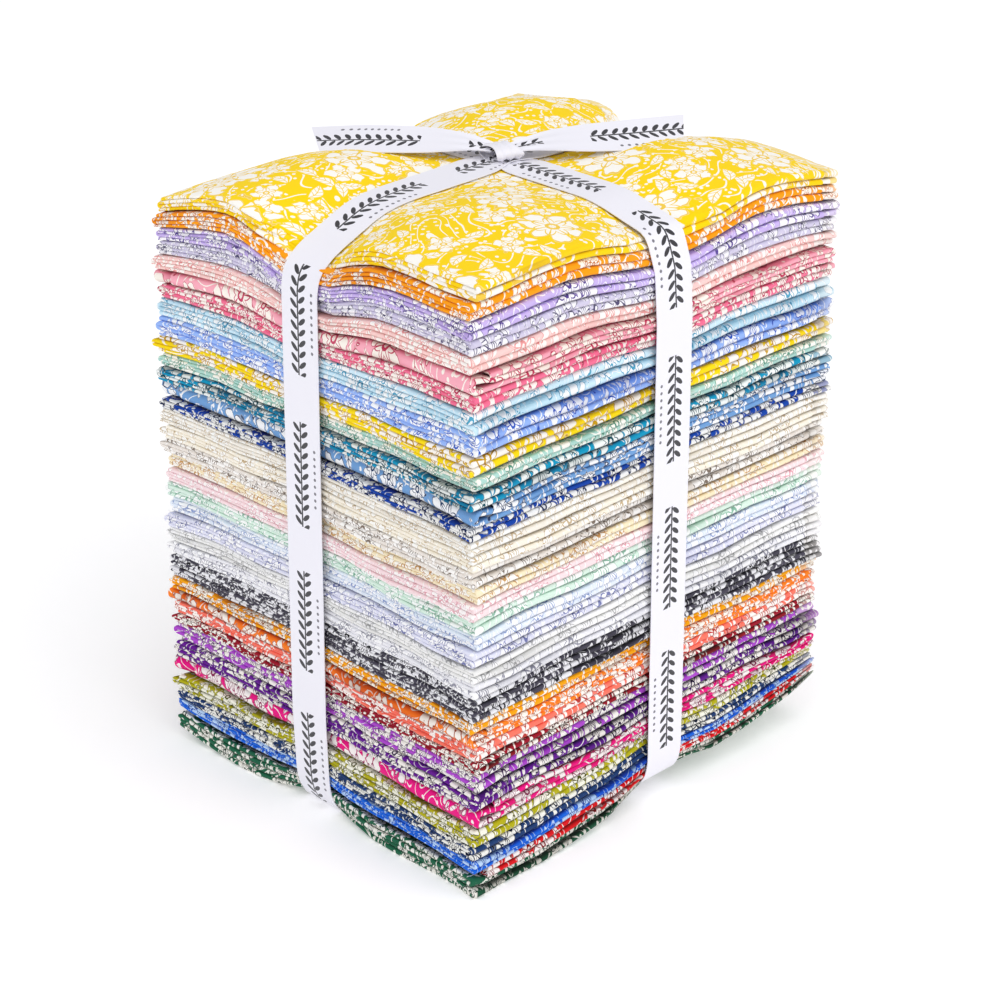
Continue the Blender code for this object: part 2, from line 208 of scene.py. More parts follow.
def linear(hex_colour):
    """The linear colour of an sRGB hex colour, with an alpha of 1."""
    channels = [int(hex_colour[i:i + 2], 16) / 255 for i in (1, 3, 5)]
    return [c / 12.92 if c <= 0.04045 else ((c + 0.055) / 1.055) ** 2.4 for c in channels] + [1.0]


def add(tree, kind, inputs=None, **settings):
    """Add a node with its settings. An input is a value, or the socket that feeds it, or the node whose
    first output feeds it.
    """
    node = tree.nodes.new(kind)
    for name, value in settings.items():
        setattr(node, name, value)
    for key, value in (inputs or {}).items():
        source = value.outputs[0] if isinstance(value, bpy.types.Node) else value
        if isinstance(source, bpy.types.NodeSocket):
            tree.links.new(source, node.inputs[key])
        else:
            node.inputs[key].default_value = source
    return node


def new_tree(name, kind, inputs, outputs):
    """A node group with named sockets, the sockets that feed it, and its output node."""
    tree = bpy.data.node_groups.new(name, kind)
    for direction, sockets in (("INPUT", inputs), ("OUTPUT", outputs)):
        for socket_name, socket_kind in sockets:
            tree.interface.new_socket(socket_name, in_out=direction, socket_type=socket_kind)
    return tree, add(tree, "NodeGroupInput").outputs, add(tree, "NodeGroupOutput")


def new_material(name, values):
    """A material with values set on its shader, and its node tree and shader."""
    material = bpy.data.materials.new(name)
    material.use_nodes = True
    shader = material.node_tree.nodes["Principled BSDF"]
    for socket, value in values.items():
        shader.inputs[socket].default_value = value
    return material, material.node_tree, shader


def new_object(name, data):
    """An object with the given mesh, camera or light, linked to the scene."""
    made = bpy.data.objects.new(name, data)
    bpy.context.scene.collection.objects.link(made)
    return made


def ramp(value, start, length, most=1.0):
    """A straight rise from 0 at the start to 1 a length further on, and past that as far as most."""
    return np.clip((value - start) / length, 0.0, most)


def ease(value):
    """A smooth step from 0 to 1."""
    value = np.clip(value, 0.0, 1.0)
    return value * value * (3 - 2 * value)


# ---------------------------------------------------------------- how the stack settles


def zone(distance, crest, edge):
    """Distance from the ribbon's line as a zone number: 0 under it, 1 at the crest and 2 at the edge."""
    rise = ramp(distance, BAND, crest - BAND)
    fall = ramp(distance, crest, edge - crest)
    return np.sin(rise * math.pi / 2) + fall ** 1.7


def ribbon_zones(x, y):
    """The zone numbers of places on the stack, along X and along Y."""
    edge_x = HALF_X - np.sign(x - RIBBON_X) * RIBBON_X
    edge_y = HALF_Y - np.sign(y - RIBBON_Y) * RIBBON_Y
    return zone(np.abs(x - RIBBON_X), TOP_CREST_X, edge_x), zone(np.abs(y - RIBBON_Y), TOP_CREST_Y, edge_y)


def over_grid(zone_x, zone_y, heights):
    """Height in metres at places given as zones, blended between the heights of the zones."""
    total = np.zeros_like(zone_x)
    for (i, j), height in heights.items():
        share = np.clip(1 - np.abs(zone_x - i), 0, 1) * np.clip(1 - np.abs(zone_y - j), 0, 1)
        total += share * height
    return total * MM


def at_corners(x, y, column):
    """What the four corners add at places on the stack, in metres, blended from corner to corner."""
    right = ease(x / (40 * MM) + 0.5)
    back = ease(y / (40 * MM) + 0.5)
    total = np.zeros_like(right)
    for (side_x, side_y), row in CORNERS_MM.items():
        share_x = right if side_x > 0 else 1 - right
        share_y = back if side_y > 0 else 1 - back
        total += share_x * share_y * row[column]
    return total * MM


def sway(x, y, z, seed):
    """A slow unevenness through the whole stack, from -1 to 1, that neighbouring fat quarters share."""
    first = np.sin(2 * math.pi * (x / 0.061 + y / 0.047 + z / 0.053) + seed)
    second = np.sin(2 * math.pi * (x / 0.038 - y / 0.083 + z / 0.029) + 2.3 * seed)
    return 0.62 * first + 0.38 * second


def ribbon_middle(z):
    """Where the middle of the ribbon runs at a height: its x on the Y sides and its y on the X sides."""
    share = np.clip(z / STACK_HEIGHT, 0.0, 1.0)
    return FOOT_X + (RIBBON_X - FOOT_X) * share, FOOT_Y + (RIBBON_Y - FOOT_Y) * share


def ribbon_pull(x, y, z):
    """How far the ribbon draws the sides in, along X and along Y: most at the top and bottom edges."""
    near_top = np.clip(1 - (STACK_HEIGHT - z) / TOP_EDGE_DEPTH, 0, 0.97)
    near_foot = np.clip(1 - z / FOOT_EDGE_DEPTH, 0, 0.97)
    pinch = PINCH + TOP_EDGE_PULL * (1 - np.sqrt(1 - near_top ** 2))
    pinch += FOOT_EDGE_PULL * (1 - np.sqrt(1 - near_foot ** 2))
    middle_x, middle_y = ribbon_middle(z)
    pull_x = pinch * np.exp(-((y - middle_y) / PULL_WIDTH) ** 4) * ease(ramp(np.abs(x), 36 * MM, 30 * MM))
    pull_y = pinch * np.exp(-((x - middle_x) / PULL_WIDTH) ** 4) * ease(ramp(np.abs(y), 45 * MM, 31 * MM))
    return pull_x, pull_y


def settle(points):
    """Move points of the flat stack to where the ribbon's pull and the surface below leave them."""
    x, y, z = (points[..., k].copy() for k in range(3))
    zone_x, zone_y = ribbon_zones(x, y)
    corner = np.clip(zone_x - 1, 0, 1) * np.clip(zone_y - 1, 0, 1)
    top = over_grid(zone_x, zone_y, TOP_HEIGHTS_MM) + corner * at_corners(x, y, 0)
    top -= LEFT_SINK * ramp(-x, 20 * MM, 40 * MM, 1.15) ** 1.5
    top -= BACK_SINK * ramp(y, 30 * MM, 40 * MM, 1.15) ** 1.5
    top_share = ramp(z, STACK_HEIGHT - TOP_DEPTH, TOP_DEPTH, 1.2) ** 1.5
    middle_x, middle_y = ribbon_middle(z)
    under = np.minimum(np.abs(x - middle_x), np.abs(y - middle_y))
    far = np.clip(np.abs(x) / HALF_X, 0, 1.02) ** 6 * np.clip(np.abs(y) / HALF_Y, 0, 1.02) ** 6
    foot = FOOT_LIFT * ease((FOOT_REACH - under) / (FOOT_REACH - BAND)) + far * at_corners(x, y, 1)
    foot += FOOT_CURL * ramp(y, -45 * MM, 90 * MM, 1.1) * ramp(x, 0.0, HALF_X, 1.02) ** 4
    foot_share = np.clip(1 - z / FOOT_DEPTH, 0, 1) ** 1.4

    # The corners stick out, the sides are uneven where no ribbon holds them, and the ribbon draws them in.
    edge = ease((np.maximum(np.abs(x) / HALF_X, np.abs(y) / HALF_Y) - 0.6) / 0.4)
    free = edge * (1 - np.exp(-(under / (14 * MM)) ** 2))
    pull_x, pull_y = ribbon_pull(x, y, z)
    out = far * at_corners(x, y, 2) * np.clip((STACK_HEIGHT - z) / TOP_DEPTH, 0, 1)
    out_x = out + SIDE_SWAY * free * sway(x, y, z, 0.7) - pull_x
    out_y = out + SIDE_SWAY * free * sway(x, y, z, 3.9) - pull_y
    inside = np.clip(z / (25 * MM), 0, 1) * np.clip((STACK_HEIGHT - z) / (25 * MM), 0, 1)
    wave = SIDE_WAVE * edge * inside * sway(x, y, z, 5.2)
    level = z + top * top_share + foot * foot_share + wave
    return np.stack([x + np.sign(x) * out_x, y + np.sign(y) * out_y, level], -1)


# ---------------------------------------------------------------- folding a sheet


def fold_shapes(order, room, thickness, first_way, random, swells):
    """Each layer's level, then each fold's middle level, half height and how far it is tucked in."""
    layers = len(order)
    levels = [((level + 0.5) / layers - 0.5) * room for level in order]
    pairs = list(zip(levels[:-1], levels[1:]))
    middles = [(a + b) / 2 for a, b in pairs]
    halves = [abs(b - a) / 2 for a, b in pairs]
    tucks = [0.0] * len(pairs)
    for way in swells:
        here = [k for k in range(len(pairs)) if first_way * (-1) ** k == way]
        widest = max(halves[k] for k in here)
        for k in here:
            tucks[k] = TUCK if halves[k] < 0.9 * widest else 0.0
        outer = sorted((k for k in here if not tucks[k]), key=lambda k: middles[k])
        shares = np.array([random.uniform(0.85, 1.15) for _ in outer])
        tops = np.cumsum(shares / shares.sum()) * room
        for k, low, high in zip(outer, np.concatenate([[0.0], tops[:-1]]), tops):
            middles[k] = (low + high) / 2 - room / 2
            halves[k] = (high - low - thickness - FOLD_GAP) / 2
    return levels, middles, halves, tucks


def back_and_forth(order, half, room, thickness, first_way, run_steps, fold_steps, random, swells=(-1, 1)):
    """The path of a sheet folded back and forth, as rows of (along, level, normal along, normal level, end).

    order gives the height of each layer, as its place counted from the bottom. half is the reach of the
    folds and room the height they share. At the sides in swells, the folds swell to fill the room, and
    loose ends stop well short. end numbers the fold or loose end a row is nearest to.
    """
    levels, middles, halves, tucks = fold_shapes(order, room, thickness, first_way, random, swells)
    noses = [min(size, FOLD_NOSE) for size in halves]
    loose = {way: HIDDEN_END if way in swells else OPEN_END for way in (-1, 1)}
    last = len(order) - 1
    rows = []
    for layer, rest in enumerate(levels):
        way = first_way * (-1) ** layer
        side = (-1) ** layer
        start = half - (noses[layer - 1] + thickness / 2 + tucks[layer - 1] if layer else loose[-way])
        finish = half - (noses[layer] + thickness / 2 + tucks[layer] if layer < last else loose[way])
        rise = 1 if layer == last or levels[layer + 1] > rest else -1
        rose = 1 if layer == 0 or rest > levels[layer - 1] else -1
        for step in range(run_steps + 1):
            share = math.sin((step / run_steps - 0.5) * math.pi * 0.86) / math.sin(0.43 * math.pi)
            along = way * (share * (start + finish) / 2 + (finish - start) / 2)
            level = rest
            if layer:
                near = ease((FOLD_REACH - start - way * along) / FOLD_REACH)
                level += near * (middles[layer - 1] + rose * halves[layer - 1] - rest)
            if layer < last:
                near = ease((FOLD_REACH - finish + way * along) / FOLD_REACH)
                level += near * (middles[layer] - rise * halves[layer] - rest)
            rows.append((along, level, 0.0, side, layer + (step > run_steps / 2)))
        if layer < last:
            for step in range(1, fold_steps):
                angle = math.pi * step / fold_steps
                out = math.sin(angle)
                up = -math.cos(angle)
                along = way * (finish + out ** 0.8 * noses[layer])
                level = middles[layer] + rise * up * halves[layer]
                rows.append((along, level, -rise * side * way * out, -side * up, layer + 1))
    return np.array(rows)


def path_lengths(rows):
    """How far along the sheet each row of a folded path is."""
    return np.concatenate([[0.0], np.cumsum(np.hypot(np.diff(rows[:, 0]), np.diff(rows[:, 1])))])


def wander(random, distance, size, length):
    """A slow uneven drift along a distance: three waves of about the given length."""
    total = np.zeros_like(distance)
    for share in (1.0, 0.55, 0.3):
        phase = random.uniform(0, 2 * math.pi)
        wave = length * share * random.uniform(0.8, 1.25)
        total += share * np.sin(distance / wave * 2 * math.pi + phase)
    return total * size


def end_drift(random, place, nearest, other):
    """How far each fold or loose end stands out past its line, with a drift of its own for each."""
    total = np.zeros_like(place)
    for end in range(int(nearest.max()) + 1):
        drift = random.uniform(-0.9, 0.5) * MM + wander(random, other, 0.22 * MM, 90 * MM)
        drift += wander(random, other, 0.09 * MM, 27 * MM)
        total += np.where(nearest == end, drift, 0.0)
    return total


def folded_cut(number, row, run_steps, ply_steps):
    """One folded fat quarter: its middle surface, how far along the cloth each point is, and its painted
    crease shade, from how deep inside the folds it lies.

    Most are folded last at the right, in four legs of three plies. Some are turned, and folded last at the
    front, in three legs of four plies. Those four plies come from folding the cloth in half twice.
    """
    random = np.random.default_rng(400 + number)
    height = row["top"] - row["base"]
    spread = row["spread_mm"] * MM + STICK_OUT
    turned = row["fold"] == "front"
    leg_order, ply_order = ((0, 1, 2), (0, 3, 2, 1)) if turned else ((0, 1, 2, 3), (0, 1, 2))
    half_x, half_y = HALF_X + spread, HALF_Y + spread
    leg_half, ply_half = (half_y, half_x) if turned else (half_x, half_y)
    room = height / len(leg_order)
    way = -1 if turned else 1
    plies = back_and_forth(ply_order, ply_half, room, CLOTH_THICKNESS, -way, ply_steps, 5, random)
    legs = back_and_forth(leg_order, leg_half, height, room, way, run_steps, 7, random, (way,))
    t, s = np.meshgrid(path_lengths(legs), path_lengths(plies), indexing="ij")
    leg, ply = np.meshgrid(legs[:, 0], plies[:, 0], indexing="ij")
    leg_end, ply_end = np.meshgrid(legs[:, 4], plies[:, 4], indexing="ij")
    offset = np.broadcast_to(plies[:, 1], leg.shape)
    z = row["base"] + height / 2 + legs[:, 1][:, None] + offset * legs[:, 3][:, None]
    leg = leg + offset * legs[:, 2][:, None]
    leg_out = end_drift(random, leg, leg_end, ply)
    ply_out = end_drift(random, ply, ply_end, t)

    # How deep a point is inside the folds beside it, and the painted crease shade that follows from it: 0 at
    # their tips, rising to 1 further in.
    depth = np.minimum(leg_half + leg_out - np.abs(leg), ply_half + ply_out - np.abs(ply))
    crease_shade = ease((depth - 0.25 * MM) / (1.3 * MM))
    leg = leg + leg_out * np.sign(leg) * ease((np.abs(leg) - leg_half + EDGE_FADE) / EDGE_FADE)
    ply = ply + ply_out * np.sign(ply) * ease((np.abs(ply) - ply_half + EDGE_FADE) / EDGE_FADE)
    ply = ply + wander(random, t, 0.18 * MM, 300 * MM)
    z = z + wander(random, leg, 0.03 * MM, 70 * MM) + wander(random, ply, 0.03 * MM, 80 * MM)
    x, y = (ply, leg) if turned else (leg, ply)

    # The top of the first and the underside of the last lie open, so they get no painted crease shade. The
    # last also lies clear of the narrower one over it at the left and the front, and is fuller there.
    if number == 1:
        crease_shade = crease_shade * ease((row["top"] - 0.35 * MM - z) / (0.2 * MM))
    if number == len(PRINTS):
        crease_shade = crease_shade * ease((z - row["base"] - 0.35 * MM) / (0.2 * MM))
        clear = ease((np.maximum(-x / HALF_X, -y / HALF_Y) - 0.935) / 0.05)
        z = z + FULLER * clear * (z - row["base"]) / height

    turn = math.radians(row["turn_deg"])
    place_x = x * math.cos(turn) - y * math.sin(turn) + row["shift_x_mm"] * MM
    place_y = x * math.sin(turn) + y * math.cos(turn) + row["shift_y_mm"] * MM
    points = settle(np.stack([place_x, place_y, z], -1))
    # Where the ribbon rounds off an edge, each layer shows past the one over it, so its painted crease shade
    # is taken off there.
    crease_shade = crease_shade * (1 - ease((sum(ribbon_pull(place_x, place_y, z)) - PINCH) / (1.2 * MM)))
    lengths = np.stack([s, t], -1)
    # The printed side of a grid is the one its normals point to, so a turned one is counted the other way.
    return (points[:, ::-1], lengths[:, ::-1], crease_shade[:, ::-1]) if turned else (points, lengths, crease_shade)


# ---------------------------------------------------------------- meshes from grids of points


def grid_normals(points):
    """Unit normals of a grid of points."""
    along = np.gradient(points, axis=0)
    across = np.gradient(points, axis=1)
    normals = np.cross(along, across)
    return normals / np.maximum(np.linalg.norm(normals, axis=-1, keepdims=True), 1e-12)


def cloth_layers(points, lengths, crease_shade, thickness):
    """A closed sheet from a grid: its vertices, its faces and their sides, and each vertex's UV and painted
    crease shade.
    """
    rows, columns = points.shape[:2]
    normals = grid_normals(points)
    face_side = points + normals * thickness / 2
    back_side = points - normals * thickness / 2
    vertices = np.concatenate([face_side.reshape(-1, 3), back_side.reshape(-1, 3)])
    uvs = np.concatenate([lengths.reshape(-1, 2)] * 2)
    crease_shades = np.concatenate([crease_shade.ravel()] * 2)
    index = np.arange(rows * columns).reshape(rows, columns)
    quads = np.stack([index[:-1, :-1], index[1:, :-1], index[1:, 1:], index[:-1, 1:]], -1).reshape(-1, 4)
    back = quads[:, ::-1] + rows * columns
    border = np.concatenate([index[:-1, 0], index[-1, :-1], index[:0:-1, -1], index[0, :0:-1]])
    after = np.roll(border, -1)
    rim = np.stack([border, border + rows * columns, after + rows * columns, after], -1)
    sides = np.concatenate([np.zeros(len(quads), int), np.ones(len(back) + len(rim), int)])
    return vertices, np.concatenate([quads, back, rim]), sides, uvs, crease_shades


def join_layers(parts):
    """Join several closed sheets into one set of vertices, faces, sides, UVs and painted crease shades."""
    starts = np.cumsum([0] + [len(part[0]) for part in parts[:-1]])
    moved = [(part[0], part[1] + start, *part[2:]) for part, start in zip(parts, starts)]
    return tuple(np.concatenate(values) for values in zip(*moved))


def new_piece(name, layers, materials):
    """A mesh object from closed sheets, with the cloth's own lengths as its UV map in metres."""
    vertices, faces, sides, uvs, crease_shades = layers
    mesh = bpy.data.meshes.new(name)
    mesh.vertices.add(len(vertices))
    mesh.vertices.foreach_set("co", vertices.astype(np.float32).ravel())
    mesh.loops.add(faces.size)
    mesh.loops.foreach_set("vertex_index", faces.astype(np.int32).ravel())
    mesh.polygons.add(len(faces))
    mesh.polygons.foreach_set("loop_start", np.arange(0, faces.size, 4, dtype=np.int32))
    mesh.polygons.foreach_set("material_index", sides.astype(np.int32))
    mesh.polygons.foreach_set("use_smooth", np.ones(len(faces), dtype=bool))
    layer = mesh.uv_layers.new(name="cloth")
    layer.data.foreach_set("uv", uvs[faces.ravel()].astype(np.float32).ravel())
    # The painted crease shade goes on each vertex, for the cloth's material to darken its colour by.
    mesh.attributes.new("crease_shade", "FLOAT", "POINT").data.foreach_set("value", crease_shades.astype(np.float32))
    mesh.update(calc_edges=True)
    mesh.set_sharp_from_angle(angle=math.radians(75))
    for material in materials:
        mesh.materials.append(material)
    return new_object(name, mesh)


# ---------------------------------------------------------------- printed flowers


CELL_SOCKETS = [("Place mm", "NodeSocketVector"), ("Room mm", "NodeSocketFloat"),
                ("Share", "NodeSocketFloat"), ("Seed", "NodeSocketVector")]
MASK_SOCKETS = [("Fill", "NodeSocketFloat"), ("Line", "NodeSocketFloat"), ("Edge", "NodeSocketFloat")]


def motif_cells(tree, given, randomness):
    """Cells that have room for one motif each: the place in the pattern, the cells, the place from the
    middle of the nearest cell, and that cell's three random values.
    """
    room = add(tree, "ShaderNodeCombineXYZ", {0: given["Room mm"], 1: given["Room mm"], 2: 1.0})
    place = add(tree, "ShaderNodeVectorMath", {0: given["Place mm"], 1: room}, operation="DIVIDE")
    moved = add(tree, "ShaderNodeVectorMath", {0: place, 1: given["Seed"]}, operation="ADD")
    cells = add(tree, "ShaderNodeTexVoronoi", {"Vector": moved, "Scale": 1.0, "Randomness": randomness},
                voronoi_dimensions="2D")
    local = add(tree, "ShaderNodeVectorMath", {0: moved, 1: cells.outputs["Position"]}, operation="SUBTRACT")
    chance = add(tree, "ShaderNodeSeparateColor", {0: cells.outputs["Color"]})
    return moved, cells, local, chance.outputs


def motif_masks(tree, given, result, chance, inside, lines, softness, bare_from):
    """The three masks of a motif, in the share of the cells that hold one.

    inside is above 0 within the motif. Its bare edge is bare_from wide, and lines are drawn within it.
    """
    fill = add(tree, "ShaderNodeMapRange", {"Value": inside, "From Min": 0.0, "From Max": softness})
    bare = add(tree, "ShaderNodeMapRange",
               {"Value": inside, "From Min": -bare_from, "From Max": 0.02 - bare_from})
    drawn = add(tree, "ShaderNodeMath", {0: lines, 1: fill}, operation="MULTIPLY")
    kept = add(tree, "ShaderNodeMath", {0: chance[2], 1: given["Share"]}, operation="LESS_THAN")
    for name, mask in (("Fill", fill), ("Line", drawn), ("Edge", bare)):
        shown = add(tree, "ShaderNodeMath", {0: mask, 1: kept}, operation="MULTIPLY")
        tree.links.new(shown.outputs[0], result.inputs[name])


def bloom_group():
    """Flowers with petals, one to a cell, as a filled shape, its drawn lines and the bare edge round it."""
    tree, given, result = new_tree("printed blooms", "ShaderNodeTree",
                                   CELL_SOCKETS + [("Petals", "NodeSocketFloat")], MASK_SOCKETS)
    moved, cells, local, chance = motif_cells(tree, given, 0.8)
    distance = cells.outputs["Distance"]
    parts = add(tree, "ShaderNodeSeparateXYZ", {0: local})
    angle = add(tree, "ShaderNodeMath", {0: parts.outputs[1], 1: parts.outputs[0]}, operation="ARCTAN2")
    turned = add(tree, "ShaderNodeMath", {0: chance[0], 1: 2 * math.pi, 2: angle}, operation="MULTIPLY_ADD")
    halves = add(tree, "ShaderNodeMath", {0: given["Petals"], 1: 0.5}, operation="MULTIPLY")
    spun = add(tree, "ShaderNodeMath", {0: turned, 1: halves}, operation="MULTIPLY")
    cosine = add(tree, "ShaderNodeMath", {0: spun}, operation="COSINE")
    petal = add(tree, "ShaderNodeMath", {0: cosine}, operation="ABSOLUTE")
    round_petal = add(tree, "ShaderNodeMath", {0: petal, 1: 0.55}, operation="POWER")
    ragged = add(tree, "ShaderNodeTexNoise", {"Vector": moved, "Scale": 5.0, "Detail": 1.0},
                 noise_dimensions="2D")
    size = add(tree, "ShaderNodeMapRange", {"Value": chance[1], "To Min": 0.36, "To Max": 0.50})
    shape = add(tree, "ShaderNodeMapRange", {"Value": round_petal, "To Min": 0.52, "To Max": 1.0})
    reach = add(tree, "ShaderNodeMath", {0: size, 1: shape}, operation="MULTIPLY")
    wobble = add(tree, "ShaderNodeMapRange", {"Value": ragged, "From Min": 0.3, "From Max": 0.7,
                                              "To Min": 0.8, "To Max": 1.2})
    rim = add(tree, "ShaderNodeMath", {0: reach, 1: wobble}, operation="MULTIPLY")
    inside = add(tree, "ShaderNodeMath", {0: rim, 1: distance}, operation="SUBTRACT")

    # The lines: the outline, the gaps between petals, a second row of petals and a ring of stamens.
    outline = add(tree, "ShaderNodeMath", {0: inside, 1: 0.02, 2: 0.016}, operation="COMPARE")
    gaps = add(tree, "ShaderNodeMath", {0: petal, 1: 0.20}, operation="LESS_THAN")
    sine = add(tree, "ShaderNodeMath", {0: spun}, operation="SINE")
    inner_petal = add(tree, "ShaderNodeMath", {0: sine}, operation="ABSOLUTE")
    inner_shape = add(tree, "ShaderNodeMapRange", {"Value": inner_petal, "To Min": 0.13, "To Max": 0.24})
    inner_gap = add(tree, "ShaderNodeMath", {0: distance, 1: inner_shape, 2: 0.014}, operation="COMPARE")
    stamens = add(tree, "ShaderNodeMath", {0: distance, 1: 0.065, 2: 0.022}, operation="COMPARE")
    lines = outline
    for more in (gaps, inner_gap, stamens):
        lines = add(tree, "ShaderNodeMath", {0: lines, 1: more}, operation="MAXIMUM")
    motif_masks(tree, given, result, chance, inside, lines, 0.02, 0.07)
    return tree


def leaf_group():
    """Pointed leaves, one to a cell, each turned its own way, with the same masks as a flower."""
    tree, given, result = new_tree("printed leaves", "ShaderNodeTree", CELL_SOCKETS, MASK_SOCKETS)
    _, _, local, chance = motif_cells(tree, given, 0.9)
    angle = add(tree, "ShaderNodeMath", {0: chance[0], 1: 2 * math.pi}, operation="MULTIPLY")
    turned = add(tree, "ShaderNodeVectorRotate", {"Vector": local, "Angle": angle}, rotation_type="Z_AXIS")
    parts = add(tree, "ShaderNodeSeparateXYZ", {0: turned})
    # The leaf curves along a bow, and its width falls off to a point at both ends.
    bow = add(tree, "ShaderNodeMath", {0: parts.outputs[0], 1: parts.outputs[0]}, operation="MULTIPLY")
    middle = add(tree, "ShaderNodeMath", {0: bow, 1: -0.7, 2: parts.outputs[1]}, operation="MULTIPLY_ADD")
    away = add(tree, "ShaderNodeMath", {0: middle}, operation="ABSOLUTE")
    wide = add(tree, "ShaderNodeMath", {0: bow, 1: -1.05, 2: 0.20}, operation="MULTIPLY_ADD")
    inside = add(tree, "ShaderNodeMath", {0: wide, 1: away}, operation="SUBTRACT")
    # The lines: a rib down the middle, and veins slanting off it.
    rib = add(tree, "ShaderNodeMath", {0: away, 1: 0.016}, operation="LESS_THAN")
    slanted = add(tree, "ShaderNodeMath", {0: away, 1: 1.0, 2: parts.outputs[0]}, operation="MULTIPLY_ADD")
    spaced = add(tree, "ShaderNodeMath", {0: slanted, 1: 0.11}, operation="PINGPONG")
    vein = add(tree, "ShaderNodeMath", {0: spaced, 1: 0.018}, operation="LESS_THAN")
    lines = add(tree, "ShaderNodeMath", {0: rib, 1: vein}, operation="MAXIMUM")
    motif_masks(tree, given, result, chance, inside, lines, 0.03, 0.09)
    return tree


def floral_group(blooms, leaves):
    """The whole print: stems, dots, leaves, small flowers and large flowers over a plain ground."""
    tree, given, result = new_tree(
        "printed floral", "ShaderNodeTree",
        [("Place mm", "NodeSocketVector"), ("Seed", "NodeSocketVector"), ("Ground", "NodeSocketColor"),
         ("Motif", "NodeSocketColor"), ("Drawn line", "NodeSocketColor")]
        + [(name, "NodeSocketFloat") for name in DESIGN_COLUMNS],
        [("Colour", "NodeSocketColor")])
    place = given["Place mm"]
    seed = given["Seed"]
    ground = given["Ground"]
    motif = given["Motif"]

    # Stems run along the contours of a slow noise, and dots sit in cells of their own.
    vine_room = add(tree, "ShaderNodeCombineXYZ", {0: given["Vine mm"], 1: given["Vine mm"], 2: 1.0})
    vine_place = add(tree, "ShaderNodeVectorMath", {0: place, 1: vine_room}, operation="DIVIDE")
    vine_moved = add(tree, "ShaderNodeVectorMath", {0: vine_place, 1: seed}, operation="ADD")
    flow = add(tree, "ShaderNodeTexNoise", {"Vector": vine_moved, "Scale": 1.0, "Detail": 0.0},
               noise_dimensions="2D")
    bands = add(tree, "ShaderNodeMath", {0: flow, 1: 0.09}, operation="PINGPONG")
    vine = add(tree, "ShaderNodeMath", {0: bands, 1: 0.011}, operation="LESS_THAN")
    dots = add(tree, "ShaderNodeTexVoronoi", {"Vector": place, "Scale": 0.5, "Randomness": 0.9},
               voronoi_dimensions="2D")
    dot_chance = add(tree, "ShaderNodeSeparateColor", {0: dots.outputs["Color"]}).outputs[0]
    dot_kept = add(tree, "ShaderNodeMath", {0: dot_chance, 1: given["Dot share"]}, operation="LESS_THAN")
    dot_round = add(tree, "ShaderNodeMath", {0: dots.outputs["Distance"], 1: 0.27}, operation="LESS_THAN")
    dot = add(tree, "ShaderNodeMath", {0: dot_round, 1: dot_kept}, operation="MULTIPLY")

    shapes = []
    kinds = (("Leaf", leaves, {}), ("Small", blooms, {"Petals": 5.0}), ("Bloom", blooms, {"Petals": 7.0}))
    for size, group, petals in kinds:
        inputs = {"Place mm": place, "Seed": seed, **petals}
        inputs.update({"Room mm": given[f"{size} mm"], "Share": given[f"{size} share"]})
        shapes.append(add(tree, "ShaderNodeGroup", inputs, node_tree=group))

    # Each layer is painted over the ones before: bare edge, filled shape, drawn lines.
    layers = [(vine, motif), (dot, motif)]
    for shape in shapes:
        layers += [(shape.outputs["Edge"], ground), (shape.outputs["Fill"], motif)]
        layers.append((shape.outputs["Line"], given["Drawn line"]))
    colour = ground
    for mask, paint in layers:
        colour = add(tree, "ShaderNodeMix", {0: mask, 6: colour, 7: paint}, data_type="RGBA").outputs[2]
    tree.links.new(colour, result.inputs["Colour"])
    return tree


def weave_bump(tree, place, pitch_mm, strength):
    """The bump of a plain weave: threads both ways, over slow unevenness. place is in mm along the cloth.

    The real threads are about 0.25 mm apart, too fine to show, so they are drawn at pitch_mm.
    """
    parts = add(tree, "ShaderNodeSeparateXYZ", {0: place})
    threads = []
    for axis in (0, 1):
        phase = add(tree, "ShaderNodeMath", {0: parts.outputs[axis], 1: 2 * math.pi / pitch_mm},
                    operation="MULTIPLY")
        threads.append(add(tree, "ShaderNodeMath", {0: phase}, operation="SINE"))
    woven = add(tree, "ShaderNodeMath", {0: threads[0], 1: threads[1]}, operation="MULTIPLY")
    slow = add(tree, "ShaderNodeTexNoise", {"Vector": place, "Scale": 0.16, "Detail": 3.0})
    raised = add(tree, "ShaderNodeMath", {0: slow, 1: 6.0, 2: woven}, operation="MULTIPLY_ADD")
    return add(tree, "ShaderNodeBump", {"Height": raised, "Strength": strength, "Distance": 0.03 * MM})


def cloth_place(tree, map_name):
    """Lengths along the cloth in mm, from the piece's UV map."""
    source = add(tree, "ShaderNodeUVMap", uv_map=map_name)
    return add(tree, "ShaderNodeVectorMath", {0: source, "Scale": 1000.0}, operation="SCALE").outputs[0]


